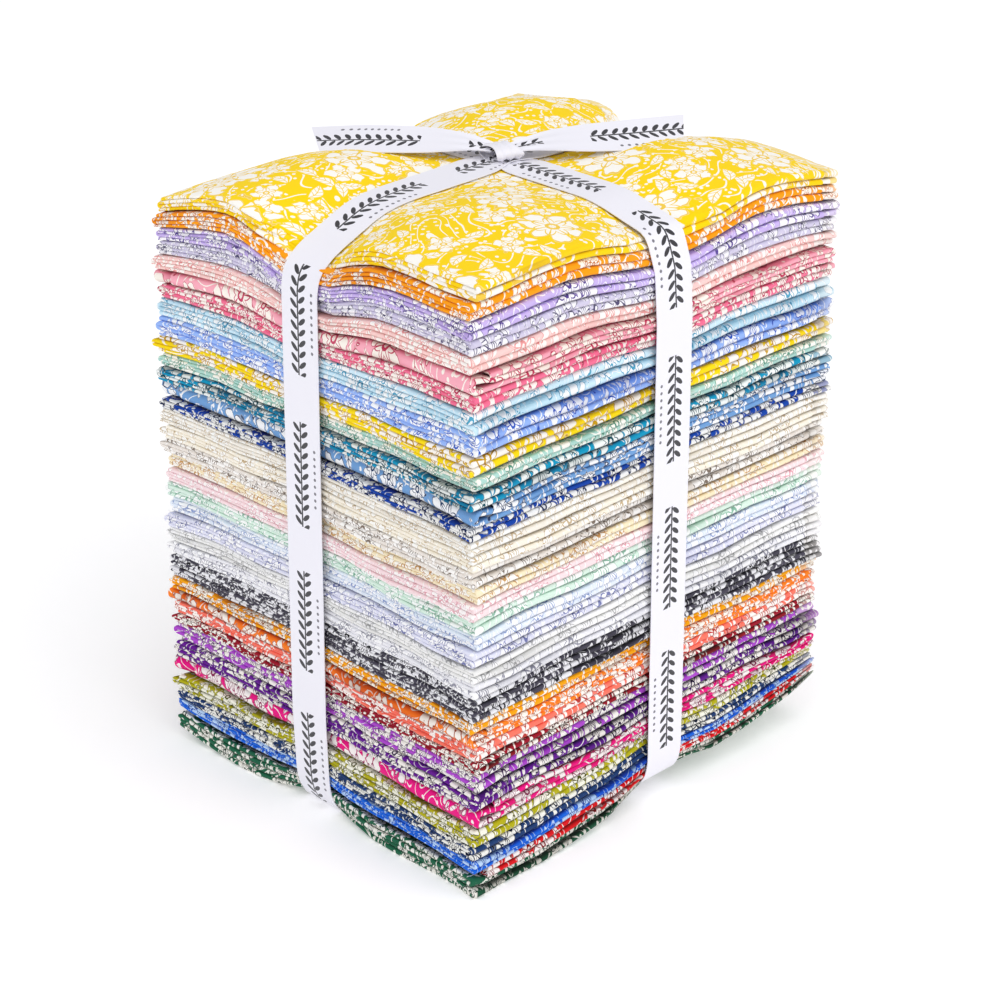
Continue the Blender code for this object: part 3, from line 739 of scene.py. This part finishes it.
def printed_cotton(name, number, row, floral, reverse):
    """Quilting cotton: plain-woven, matt and soft, printed on one side. The reverse shows the print paler.
    Deep in the folds the colour is painted darker and more saturated, as shade.
    """
    material, tree, shader = new_material(
        name, {"Roughness": 0.85, "IOR": 1.45, "Specular IOR Level": 0.25, "Sheen Weight": 0.05})
    place = cloth_place(tree, "cloth")
    design = dict(zip(DESIGN_COLUMNS, DESIGNS[row["design"]]))
    ground, line = linear(row["ground"]), linear(row["line"])
    printed = {"Place mm": place, "Seed": (number * 7.3, number * 3.1, 0.0), "Ground": ground,
               "Motif": linear(row["motif"]), "Drawn line": line, **design}
    colour = add(tree, "ShaderNodeGroup", printed, node_tree=floral).outputs[0]
    if reverse:
        colour = add(tree, "ShaderNodeMix", {0: 0.35, 6: colour, 7: linear(BARE_COTTON)},
                     data_type="RGBA").outputs[2]
    # Painted shade: deep between the folds little light arrives, and what does has taken up the cloth's
    # colour, so the base colour is painted darker and more saturated there.
    crease_shade = add(tree, "ShaderNodeAttribute", attribute_name="crease_shade").outputs["Fac"]
    shade_gamma = add(tree, "ShaderNodeMath", {0: crease_shade, 1: 0.6, 2: 1.0}, operation="MULTIPLY_ADD")
    shade_saturated = add(tree, "ShaderNodeGamma", {"Color": colour, "Gamma": shade_gamma})
    # Painted shade: deepest in a crease the colour goes toward the drawn-line colour at under half its
    # brightness, and less far on pale cloth.
    crease_shade_colour = [channel * 0.45 for channel in line[:3]] + [1.0]
    paleness = sum(ground[:3]) / 3
    crease_shade_share = add(tree, "ShaderNodeMath", {0: crease_shade, 1: 0.95 - 0.5 * paleness}, operation="MULTIPLY")
    shaded = add(tree, "ShaderNodeMix", {0: crease_shade_share, 6: shade_saturated, 7: crease_shade_colour}, data_type="RGBA")
    tree.links.new(shaded.outputs[2], shader.inputs["Base Color"])
    bump = weave_bump(tree, place, 0.55, 0.35)
    tree.links.new(bump.outputs[0], shader.inputs["Normal"])
    return material


def cell_place(tree, along, step, across, middle):
    """A place from the middle of a motif that comes again at every step along the ribbon."""
    in_cell = add(tree, "ShaderNodeMath", {0: along, 1: step}, operation="FLOORED_MODULO")
    x = add(tree, "ShaderNodeMath", {0: in_cell, 1: step / 2}, operation="SUBTRACT")
    y = add(tree, "ShaderNodeMath", {0: across, 1: middle}, operation="SUBTRACT")
    return add(tree, "ShaderNodeCombineXYZ", {0: x, 1: y})


def ribbon_material():
    """Woven polyester ribbon: white, smooth and slightly glossy, with a leafy sprig printed along it."""
    material, tree, shader = new_material(
        "woven ribbon", {"Roughness": 0.45, "IOR": 1.5, "Sheen Weight": 0.1})
    place = cloth_place(tree, "cloth")
    parts = add(tree, "ShaderNodeSeparateXYZ", {0: place})
    across, along = parts.outputs[0], parts.outputs[1]

    # The sprig: a stem 33.5 mm long every 48 mm, with leaves on both sides of it, half a step apart.
    repeat, stem_from, stem_to, stem_at, leaf_step = 48.0, 4.0, 37.5, 6.8, 3.3
    half = (stem_to - stem_from) / 2
    in_repeat = add(tree, "ShaderNodeMath", {0: along, 1: repeat}, operation="FLOORED_MODULO")
    from_stem = add(tree, "ShaderNodeMath", {0: across, 1: stem_at}, operation="SUBTRACT")
    side = add(tree, "ShaderNodeMath", {0: from_stem}, operation="SIGN")
    out = add(tree, "ShaderNodeMath", {0: from_stem}, operation="ABSOLUTE")
    staggered = add(tree, "ShaderNodeMath", {0: side, 1: leaf_step / 4, 2: in_repeat},
                    operation="MULTIPLY_ADD")
    leaf = cell_place(tree, staggered, leaf_step, out, 1.7)
    tilted = add(tree, "ShaderNodeVectorRotate", {"Vector": leaf, "Angle": -0.85}, rotation_type="Z_AXIS")
    squeezed = add(tree, "ShaderNodeVectorMath", {0: tilted, 1: (1 / 1.75, 1 / 0.72, 1.0)},
                   operation="MULTIPLY")
    round_leaf = add(tree, "ShaderNodeVectorMath", {0: squeezed}, operation="LENGTH").outputs["Value"]
    in_shape = add(tree, "ShaderNodeMath", {0: round_leaf, 1: 1.0}, operation="LESS_THAN")
    in_stem = add(tree, "ShaderNodeMath", {0: out, 1: 0.3}, operation="LESS_THAN")
    sprig = add(tree, "ShaderNodeMath", {0: in_shape, 1: in_stem}, operation="MAXIMUM")
    in_run = add(tree, "ShaderNodeMath", {0: in_repeat, 1: stem_from + half, 2: half}, operation="COMPARE")
    shown = add(tree, "ShaderNodeMath", {0: sprig, 1: in_run}, operation="MULTIPLY")

    # A row of small dots beside the middle of the sprig.
    dot_step, dot_at, dot_reach = 2.2, 12.6, 10.0
    dot = cell_place(tree, in_repeat, dot_step, across, dot_at)
    from_dot = add(tree, "ShaderNodeVectorMath", {0: dot}, operation="LENGTH").outputs["Value"]
    round_dot = add(tree, "ShaderNodeMath", {0: from_dot, 1: 0.5}, operation="LESS_THAN")
    dot_run = add(tree, "ShaderNodeMath", {0: in_repeat, 1: stem_from + half, 2: dot_reach},
                  operation="COMPARE")
    dotted = add(tree, "ShaderNodeMath", {0: round_dot, 1: dot_run}, operation="MULTIPLY")

    colour = linear("#F3F2FA")
    for mask, ink in ((shown, "#2B2A30"), (dotted, "#77757E")):
        colour = add(tree, "ShaderNodeMix", {0: mask, 6: colour, 7: linear(ink)}, data_type="RGBA").outputs[2]
    tree.links.new(colour, shader.inputs["Base Color"])
    tree.links.new(weave_bump(tree, place, 0.5, 0.12).outputs[0], shader.inputs["Normal"])
    return material


# ---------------------------------------------------------------- the ribbon


def hull_loop(points):
    """The convex loop round a set of points in a plane, against the clock."""
    ordered = sorted(map(tuple, points))
    chains = []
    for run in (ordered, ordered[::-1]):
        chain = []
        for point in run:
            while len(chain) > 1:
                (ax, ay), (bx, by) = chain[-2:]
                if (bx - ax) * (point[1] - ay) - (by - ay) * (point[0] - ax) > 0:
                    break
                chain.pop()
            chain.append(point)
        chains.append(chain[:-1])
    return np.array(chains[0] + chains[1])


def even_steps(points, step):
    """Points at even steps along an open path."""
    lengths = np.concatenate([[0.0], np.cumsum(np.linalg.norm(np.diff(points, axis=0), axis=1))])
    count = max(3, int(round(lengths[-1] / step)))
    places = np.linspace(0.0, lengths[-1], count + 1)
    return np.stack([np.interp(places, lengths, points[:, k]) for k in range(points.shape[1])], -1)


def smoothed(points, rounds):
    """A path with its corners eased by averaging, and its ends kept."""
    points = points.copy()
    for _ in range(rounds):
        points[1:-1] = (points[:-2] + 2 * points[1:-1] + points[2:]) / 4
    return points


def wrap_path(cloth_points, axis):
    """The path of the ribbon round the stack in the plane of one axis and Z, from the knot round and back.

    It is pulled tight, so it follows the convex outline of the cloth under it, and runs flat below.
    """
    beside = np.abs(cloth_points[:, 1 - axis] - ribbon_middle(cloth_points[:, 2])[1 - axis])
    under = cloth_points[beside < SUPPORT]
    loop = hull_loop(under[:, [axis, 2]])[::-1]
    dense = even_steps(np.vstack([loop, loop[:1]]), 0.5 * MM)[:-1]
    start = np.argmin(np.abs(dense[:, 0] - (RIBBON_X, RIBBON_Y)[axis]) + (dense[:, 1] < STACK_HEIGHT / 2))
    dense = np.roll(dense, -start, axis=0)
    dense = np.vstack([dense, dense[:1]])
    tangent = np.gradient(dense, axis=0)
    tangent /= np.linalg.norm(tangent, axis=1, keepdims=True)
    outward = np.stack([-tangent[:, 1], tangent[:, 0]], -1)
    path = dense + outward * (RIBBON_GAP + RIBBON_THICKNESS / 2)
    path[:, 1] = np.where(path[:, 1] < FOOT_LIFT, RIBBON_THICKNESS / 2 + 0.02 * MM, path[:, 1])
    path = smoothed(path, 6)
    from_crossing = path[:, 0] - ribbon_middle(path[:, 1])[axis]
    path[:, 1] += np.exp(-(from_crossing / (11 * MM)) ** 2) * CROSSING_LIFT * axis
    placed = np.zeros((len(path), 3))
    placed[:, axis] = path[:, 0]
    placed[:, 1 - axis] = ribbon_middle(path[:, 1])[1 - axis]
    placed[:, 2] = path[:, 1]
    return even_steps(placed, 1.8 * MM)


def strip(path, across, width, pleat, start, slant=0.0, pleats=3):
    """One stretch of ribbon along a path: its closed sheet, and how long it is.

    across gives its width's direction at each point. pleat is how high the gathers stand, and slant cuts
    the far end at an angle.
    """
    lengths = np.concatenate([[0.0], np.cumsum(np.linalg.norm(np.diff(path, axis=0), axis=1))])
    tangent = np.gradient(path, axis=0)
    tangent /= np.linalg.norm(tangent, axis=1, keepdims=True)
    up = np.cross(tangent, across)
    place = np.linspace(-1.0, 1.0, 13)
    gathers = (1 + np.cos(place * math.pi * pleats)) / 2
    cut = slant * ease((lengths - lengths[-1] + 14 * MM) / (14 * MM))
    points = (
        path[:, None, :]
        + across[:, None, :] * (place[None, :] * width[:, None] / 2)[..., None]
        + up[:, None, :] * (gathers[None, :] * pleat[:, None])[..., None]
        + tangent[:, None, :] * (place[None, :] * cut[:, None])[..., None]
    )
    along, over = np.meshgrid(lengths + start, (place + 1) / 2 * RIBBON_WIDTH, indexing="ij")
    layers = cloth_layers(points, np.stack([over, along], -1), np.zeros(over.shape), RIBBON_THICKNESS)
    return layers, lengths[-1]


def wrap(cloth_points, axis, start):
    """The ribbon round the stack one way. It is drawn together a little where it meets the knot."""
    path = wrap_path(cloth_points, axis)
    across = np.zeros_like(path)
    across[:, 1 - axis] = -1.0 if axis == 0 else 1.0
    steps = np.linalg.norm(np.diff(path, axis=0), axis=1)
    lengths = np.concatenate([[0.0], np.cumsum(steps)])
    from_knot = np.minimum(lengths, lengths[-1] - lengths)
    width = GATHERED + (RIBBON_WIDTH - GATHERED) * ease(from_knot / (11 * MM)) ** 0.8
    pleat = 0.6 * MM * (1 - ease(from_knot / (12 * MM)))
    return strip(path, across, width, pleat, start)


# The tails, as rows of x, y and height from the knot in mm, width in mm, and tilt to one side in degrees.
LEFT_TAIL = [
    (-2.5, -0.5, 2.6, 7.0, 0.0),
    (-7.0, -2.6, 3.3, 9.0, 6.0),
    (-13.0, -6.5, 3.6, 13.0, 10.0),
    (-20.5, -12.0, 3.5, 15.0, 13.0),
    (-30.0, -18.0, 3.0, 15.0, 15.0),
    (-40.0, -22.8, 2.0, 15.0, 16.0),
    (-51.5, -27.5, 0.0, 15.0, 16.0),
]
RIGHT_TAIL = [
    (0.5, 2.5, 2.6, 7.0, 0.0),
    (3.5, 7.0, 3.4, 9.0, -6.0),
    (7.5, 13.5, 4.0, 13.0, -10.0),
    (13.5, 22.5, 4.0, 15.0, -15.0),
    (19.5, 33.0, 3.8, 15.0, -18.0),
    (23.5, 43.0, 3.4, 15.0, -20.0),
    (25.5, 52.0, 2.6, 15.0, -20.0),
]


def tail(rows, crossing, start, slant):
    """One free end of the ribbon, from the knot to its slanted cut."""
    table = np.array(rows)
    knots = np.arange(len(rows))
    fine = np.linspace(0, len(rows) - 1, 46)
    table = smoothed(np.stack([np.interp(fine, knots, table[:, k]) for k in range(table.shape[1])], -1), 14)
    path = table[:, :3] * MM + np.array([RIBBON_X, RIBBON_Y, crossing])
    tangent = np.gradient(path, axis=0)
    level = np.stack([tangent[:, 1], -tangent[:, 0], np.zeros(len(path))], -1)
    level /= np.linalg.norm(level, axis=1, keepdims=True)
    tilt = np.radians(table[:, 4])[:, None]
    across = level * np.cos(tilt) + np.array([0.0, 0.0, 1.0]) * np.sin(tilt)
    width = table[:, 3] * MM
    pleat = 1.0 * MM * (1 - ease((width - 6 * MM) / (10 * MM)))
    return strip(path, across, width, pleat, start, slant)


# The knot's turn of ribbon: half its length and height, its width, and the way it faces.
KNOT_REACH = 4.6 * MM
KNOT_RISE = 1.9 * MM
KNOT_WIDTH = 8.0 * MM
KNOT_TURN = math.radians(72)


def knot(crossing, start):
    """The turn of ribbon that grips the others: a flattened loop over them, with deep gathers."""
    angles = np.linspace(math.radians(-100), math.radians(280), 60)
    back = np.array([-math.sin(KNOT_TURN), math.cos(KNOT_TURN), 0.0])
    side = np.array([math.cos(KNOT_TURN), math.sin(KNOT_TURN), 0.0])
    centre = np.array([RIBBON_X, RIBBON_Y, crossing + KNOT_RISE])
    path = centre + np.outer(np.cos(angles) * KNOT_REACH, back)
    path += np.outer(np.sin(angles) * KNOT_RISE, [0.0, 0.0, 1.0])
    path += np.outer(np.linspace(-1.5, 1.5, 60) * MM, side)
    across = np.tile(side, (60, 1))
    width = KNOT_WIDTH * (1 + 0.12 * np.cos(2 * angles))
    pleat = np.full(60, 0.6 * MM)
    return strip(path, across, width, pleat, start, pleats=3)


# Where along the printed ribbon each run of it starts. The knot shows the blank stretch between two sprigs.
PRINT_STARTS = {
    "wrap along X": -2.0 * MM,
    "wrap along Y": -5.5 * MM,
    "knot": 34.0 * MM,
    "left tail": -18.5 * MM,
    "right tail": -21.0 * MM,
}


def tied_ribbon(cloth_points, material):
    """The whole ribbon: both turns round the stack, the knot and the two tails, and its length in all."""
    from_knot = np.hypot(cloth_points[:, 0] - RIBBON_X, cloth_points[:, 1] - RIBBON_Y)
    crossing = cloth_points[from_knot < 10 * MM][:, 2].max() + 1.0 * MM
    runs = (
        wrap(cloth_points, 0, PRINT_STARTS["wrap along X"]),
        wrap(cloth_points, 1, PRINT_STARTS["wrap along Y"]),
        knot(crossing, PRINT_STARTS["knot"]),
        tail(LEFT_TAIL, crossing, PRINT_STARTS["left tail"], END_SLANT),
        tail(RIGHT_TAIL, crossing, PRINT_STARTS["right tail"], -END_SLANT),
    )
    ribbon = new_piece("tied_ribbon", join_layers([layers for layers, _ in runs]), [material, material])
    return ribbon, sum(length for _, length in runs)


# ---------------------------------------------------------------- frayed threads on the cut edges


def fray_tree(material):
    """Geometry Nodes: short bent threads along the cut edges, each one leaning its own way."""
    tree, given, result = new_tree(
        "frayed cut edge", "GeometryNodeTree",
        [("Edges", "NodeSocketGeometry"), ("Spacing", "NodeSocketFloat"),
         ("Thread length", "NodeSocketFloat"), ("Thread radius", "NodeSocketFloat"),
         ("Seed", "NodeSocketInt")],
        [("Threads", "NodeSocketGeometry")])
    tree.is_modifier = True
    curve = add(tree, "GeometryNodeMeshToCurve", {0: given["Edges"]})
    places = add(tree, "GeometryNodeResampleCurve", {"Curve": curve, "Length": given["Spacing"]},
                 mode="LENGTH")
    outward = add(tree, "GeometryNodeInputNamedAttribute", {"Name": "outward"}, data_type="FLOAT_VECTOR")
    lean = add(tree, "FunctionNodeRandomValue",
               {0: (-0.9, -0.9, -0.7), 1: (0.9, 0.9, 0.5), "Seed": given["Seed"]}, data_type="FLOAT_VECTOR")
    way = add(tree, "ShaderNodeVectorMath", {0: outward, 1: lean}, operation="ADD")
    turn = add(tree, "FunctionNodeAlignRotationToVector", {"Vector": way}, axis="Z")
    size = add(tree, "FunctionNodeRandomValue", {2: 0.25, 3: 1.0, "Seed": given["Seed"]}, data_type="FLOAT")
    picked = add(tree, "FunctionNodeRandomValue", {"Probability": 0.7, "Seed": given["Seed"]},
                 data_type="BOOLEAN")
    bend = add(tree, "ShaderNodeCombineXYZ", {2: given["Thread length"]})
    middle = add(tree, "ShaderNodeVectorMath", {0: bend, 1: (0.2, 0.0, 0.5)}, operation="MULTIPLY")
    end_x = add(tree, "ShaderNodeMath", {0: given["Thread length"], 1: 0.45}, operation="MULTIPLY")
    end = add(tree, "ShaderNodeCombineXYZ", {0: end_x, 2: given["Thread length"]})
    thread = add(tree, "GeometryNodeCurveQuadraticBezier",
                 {"Resolution": 2, "Start": (0.0, 0.0, 0.0), "Middle": middle, "End": end})
    section = add(tree, "GeometryNodeCurvePrimitiveCircle",
                  {"Resolution": 3, "Radius": given["Thread radius"]})
    tube = add(tree, "GeometryNodeCurveToMesh", {0: thread, 1: section, "Fill Caps": True})
    placed = add(tree, "GeometryNodeInstanceOnPoints",
                 {"Points": places, "Selection": picked.outputs[3], "Instance": tube,
                  "Rotation": turn, "Scale": size.outputs[1]})
    real = add(tree, "GeometryNodeRealizeInstances", {0: placed})
    finished = add(tree, "GeometryNodeSetMaterial", {0: real, "Material": material})
    tree.links.new(finished.outputs[0], result.inputs[0])
    return tree


def fray(number, points, material):
    """The loose threads of one fat quarter, along its two long cut edges and its two ends."""
    edges = [points[:, 0], points[:, -1], points[0], points[-1]]
    inner = [points[:, 1], points[:, -2], points[1], points[-2]]
    vertices = np.concatenate(edges)
    outward = np.concatenate([edge - near for edge, near in zip(edges, inner)])
    outward /= np.maximum(np.linalg.norm(outward, axis=1, keepdims=True), 1e-9)
    starts = np.cumsum([0] + [len(edge) for edge in edges[:-1]])
    links = [(start + k, start + k + 1) for start, edge in zip(starts, edges) for k in range(len(edge) - 1)]
    mesh = bpy.data.meshes.new("cut edges")
    mesh.from_pydata([tuple(v) for v in vertices], links, [])
    mesh.attributes.new("outward", "FLOAT_VECTOR", "POINT").data.foreach_set(
        "vector", outward.astype(np.float32).ravel())
    piece = new_object(f"loose_threads_{number:02d}", mesh)
    tree = fray_tree(material)
    modifier = piece.modifiers.new("fray", "NODES")
    modifier.node_group = tree
    values = {"Spacing": 11.0 * MM, "Thread length": 1.1 * MM, "Thread radius": 0.06 * MM, "Seed": number}
    for item in tree.interface.items_tree:
        if item.name in values:
            modifier[item.identifier] = values[item.name]
    graph = bpy.context.evaluated_depsgraph_get()
    made = bpy.data.meshes.new_from_object(piece.evaluated_get(graph))
    piece.modifiers.remove(modifier)
    piece.data = made
    return piece


# ---------------------------------------------------------------- camera, light and floor

CAMERA_AZIMUTH = math.radians(45.1)
CAMERA_ELEVATION = math.radians(25.1)
CAMERA_DISTANCE = 0.840
CAMERA_AIM = Vector((-0.0004, -0.0004, 0.082))
CAMERA_LENS_MM = 97.85


def look_from(azimuth, elevation, distance, aim):
    """A placing matrix for something that looks at a point from an azimuth and elevation."""
    away = Vector((math.sin(azimuth) * math.cos(elevation), -math.cos(azimuth) * math.cos(elevation),
                   math.sin(elevation)))
    turn = away.to_track_quat("Z", "Y").to_matrix().to_4x4()
    return Matrix.Translation(aim + away * distance) @ turn


def studio():
    """The camera, a pale floor and soft light all round."""
    scene = bpy.context.scene
    camera_data = bpy.data.cameras.new("camera")
    camera_data.lens = CAMERA_LENS_MM
    camera_data.clip_start = 0.01
    camera = new_object("camera", camera_data)
    camera.matrix_world = look_from(CAMERA_AZIMUTH, CAMERA_ELEVATION, CAMERA_DISTANCE, CAMERA_AIM)
    scene.camera = camera

    sun_data = bpy.data.lights.new("wide overhead light", "SUN")
    sun_data.energy = 1.4
    sun_data.angle = math.radians(70)
    sun = new_object("wide overhead light", sun_data)
    sun.matrix_world = look_from(math.radians(75), math.radians(62), 1.5, CAMERA_AIM)
    for name, azimuth in (("left soft light", -25), ("right soft light", 105)):
        light_data = bpy.data.lights.new(name, "AREA")
        light_data.shape = "SQUARE"
        light_data.size = 0.9
        light_data.energy = 2.1
        light = new_object(name, light_data)
        light.matrix_world = look_from(math.radians(azimuth), math.radians(28), 1.4, CAMERA_AIM)

    world = bpy.data.worlds.new("studio")
    world.use_nodes = True
    world.node_tree.nodes["Background"].inputs["Color"].default_value = linear("#FBFBFF")
    world.node_tree.nodes["Background"].inputs["Strength"].default_value = 0.51
    scene.world = world
    scene.view_settings.view_transform = "Standard"

    floor_mesh = bpy.data.meshes.new("floor")
    reach = 6.0
    corners = [(-reach, -reach, 0), (reach, -reach, 0), (reach, reach, 0), (-reach, reach, 0)]
    floor_mesh.from_pydata(corners, [], [(0, 1, 2, 3)])
    paper, _, _ = new_material("white paper lit from below", {
        "Base Color": linear("#F8F8F8"), "Roughness": 0.9, "Emission Color": linear("#FFFFFF"),
        "Emission Strength": 0.2})
    floor_mesh.materials.append(paper)
    new_object("floor", floor_mesh)


# ---------------------------------------------------------------- put it together


def cotton_threads(number, row):
    """Loose cotton thread: matt, in a paler tone of its print's ground."""
    material, tree, shader = new_material(f"cotton thread {number:02d}", {"Roughness": 0.9})
    place = add(tree, "ShaderNodeTexCoord")
    fleck = add(tree, "ShaderNodeTexNoise", {"Vector": place.outputs["Object"], "Scale": 900.0})
    tone = add(tree, "ShaderNodeMix", {0: fleck, 6: linear(row["ground"]), 7: linear(BARE_COTTON)},
               data_type="RGBA")
    tree.links.new(tone.outputs[2], shader.inputs["Base Color"])
    return material


def mesh_steps(number):
    """How many steps a fat quarter's legs and plies are drawn in. The top one shows its whole face, and the
    next few bend over the edge under the ribbon, so they take more.
    """
    if number == 1:
        return 34, 30
    return (20, 22) if number < 7 else (16, 12)


def build():
    """Every fat quarter with its loose threads, then the ribbon over them."""
    floral = floral_group(bloom_group(), leaf_group())
    outlines = []
    for number, row in enumerate(ROWS, start=1):
        points, lengths, crease_shade = folded_cut(number, row, *mesh_steps(number))
        outlines.append(points.reshape(-1, 3))
        face = printed_cotton(f"printed cotton {number:02d}", number, row, floral, False)
        back = printed_cotton(f"printed cotton {number:02d} reverse", number, row, floral, True)
        layers = cloth_layers(points, lengths, crease_shade, CLOTH_THICKNESS)
        piece = new_piece(f"folded_cotton_{number:02d}", layers, [face, back])
        threads = fray(number, points, cotton_threads(number, row))
        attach(piece, "root")
        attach(threads, "root")
        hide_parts(f"fat_quarter_{number:02d}")
    ribbon, length = tied_ribbon(np.concatenate(outlines), ribbon_material())
    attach(ribbon, "root")
    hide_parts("ribbon")


studio()
build()
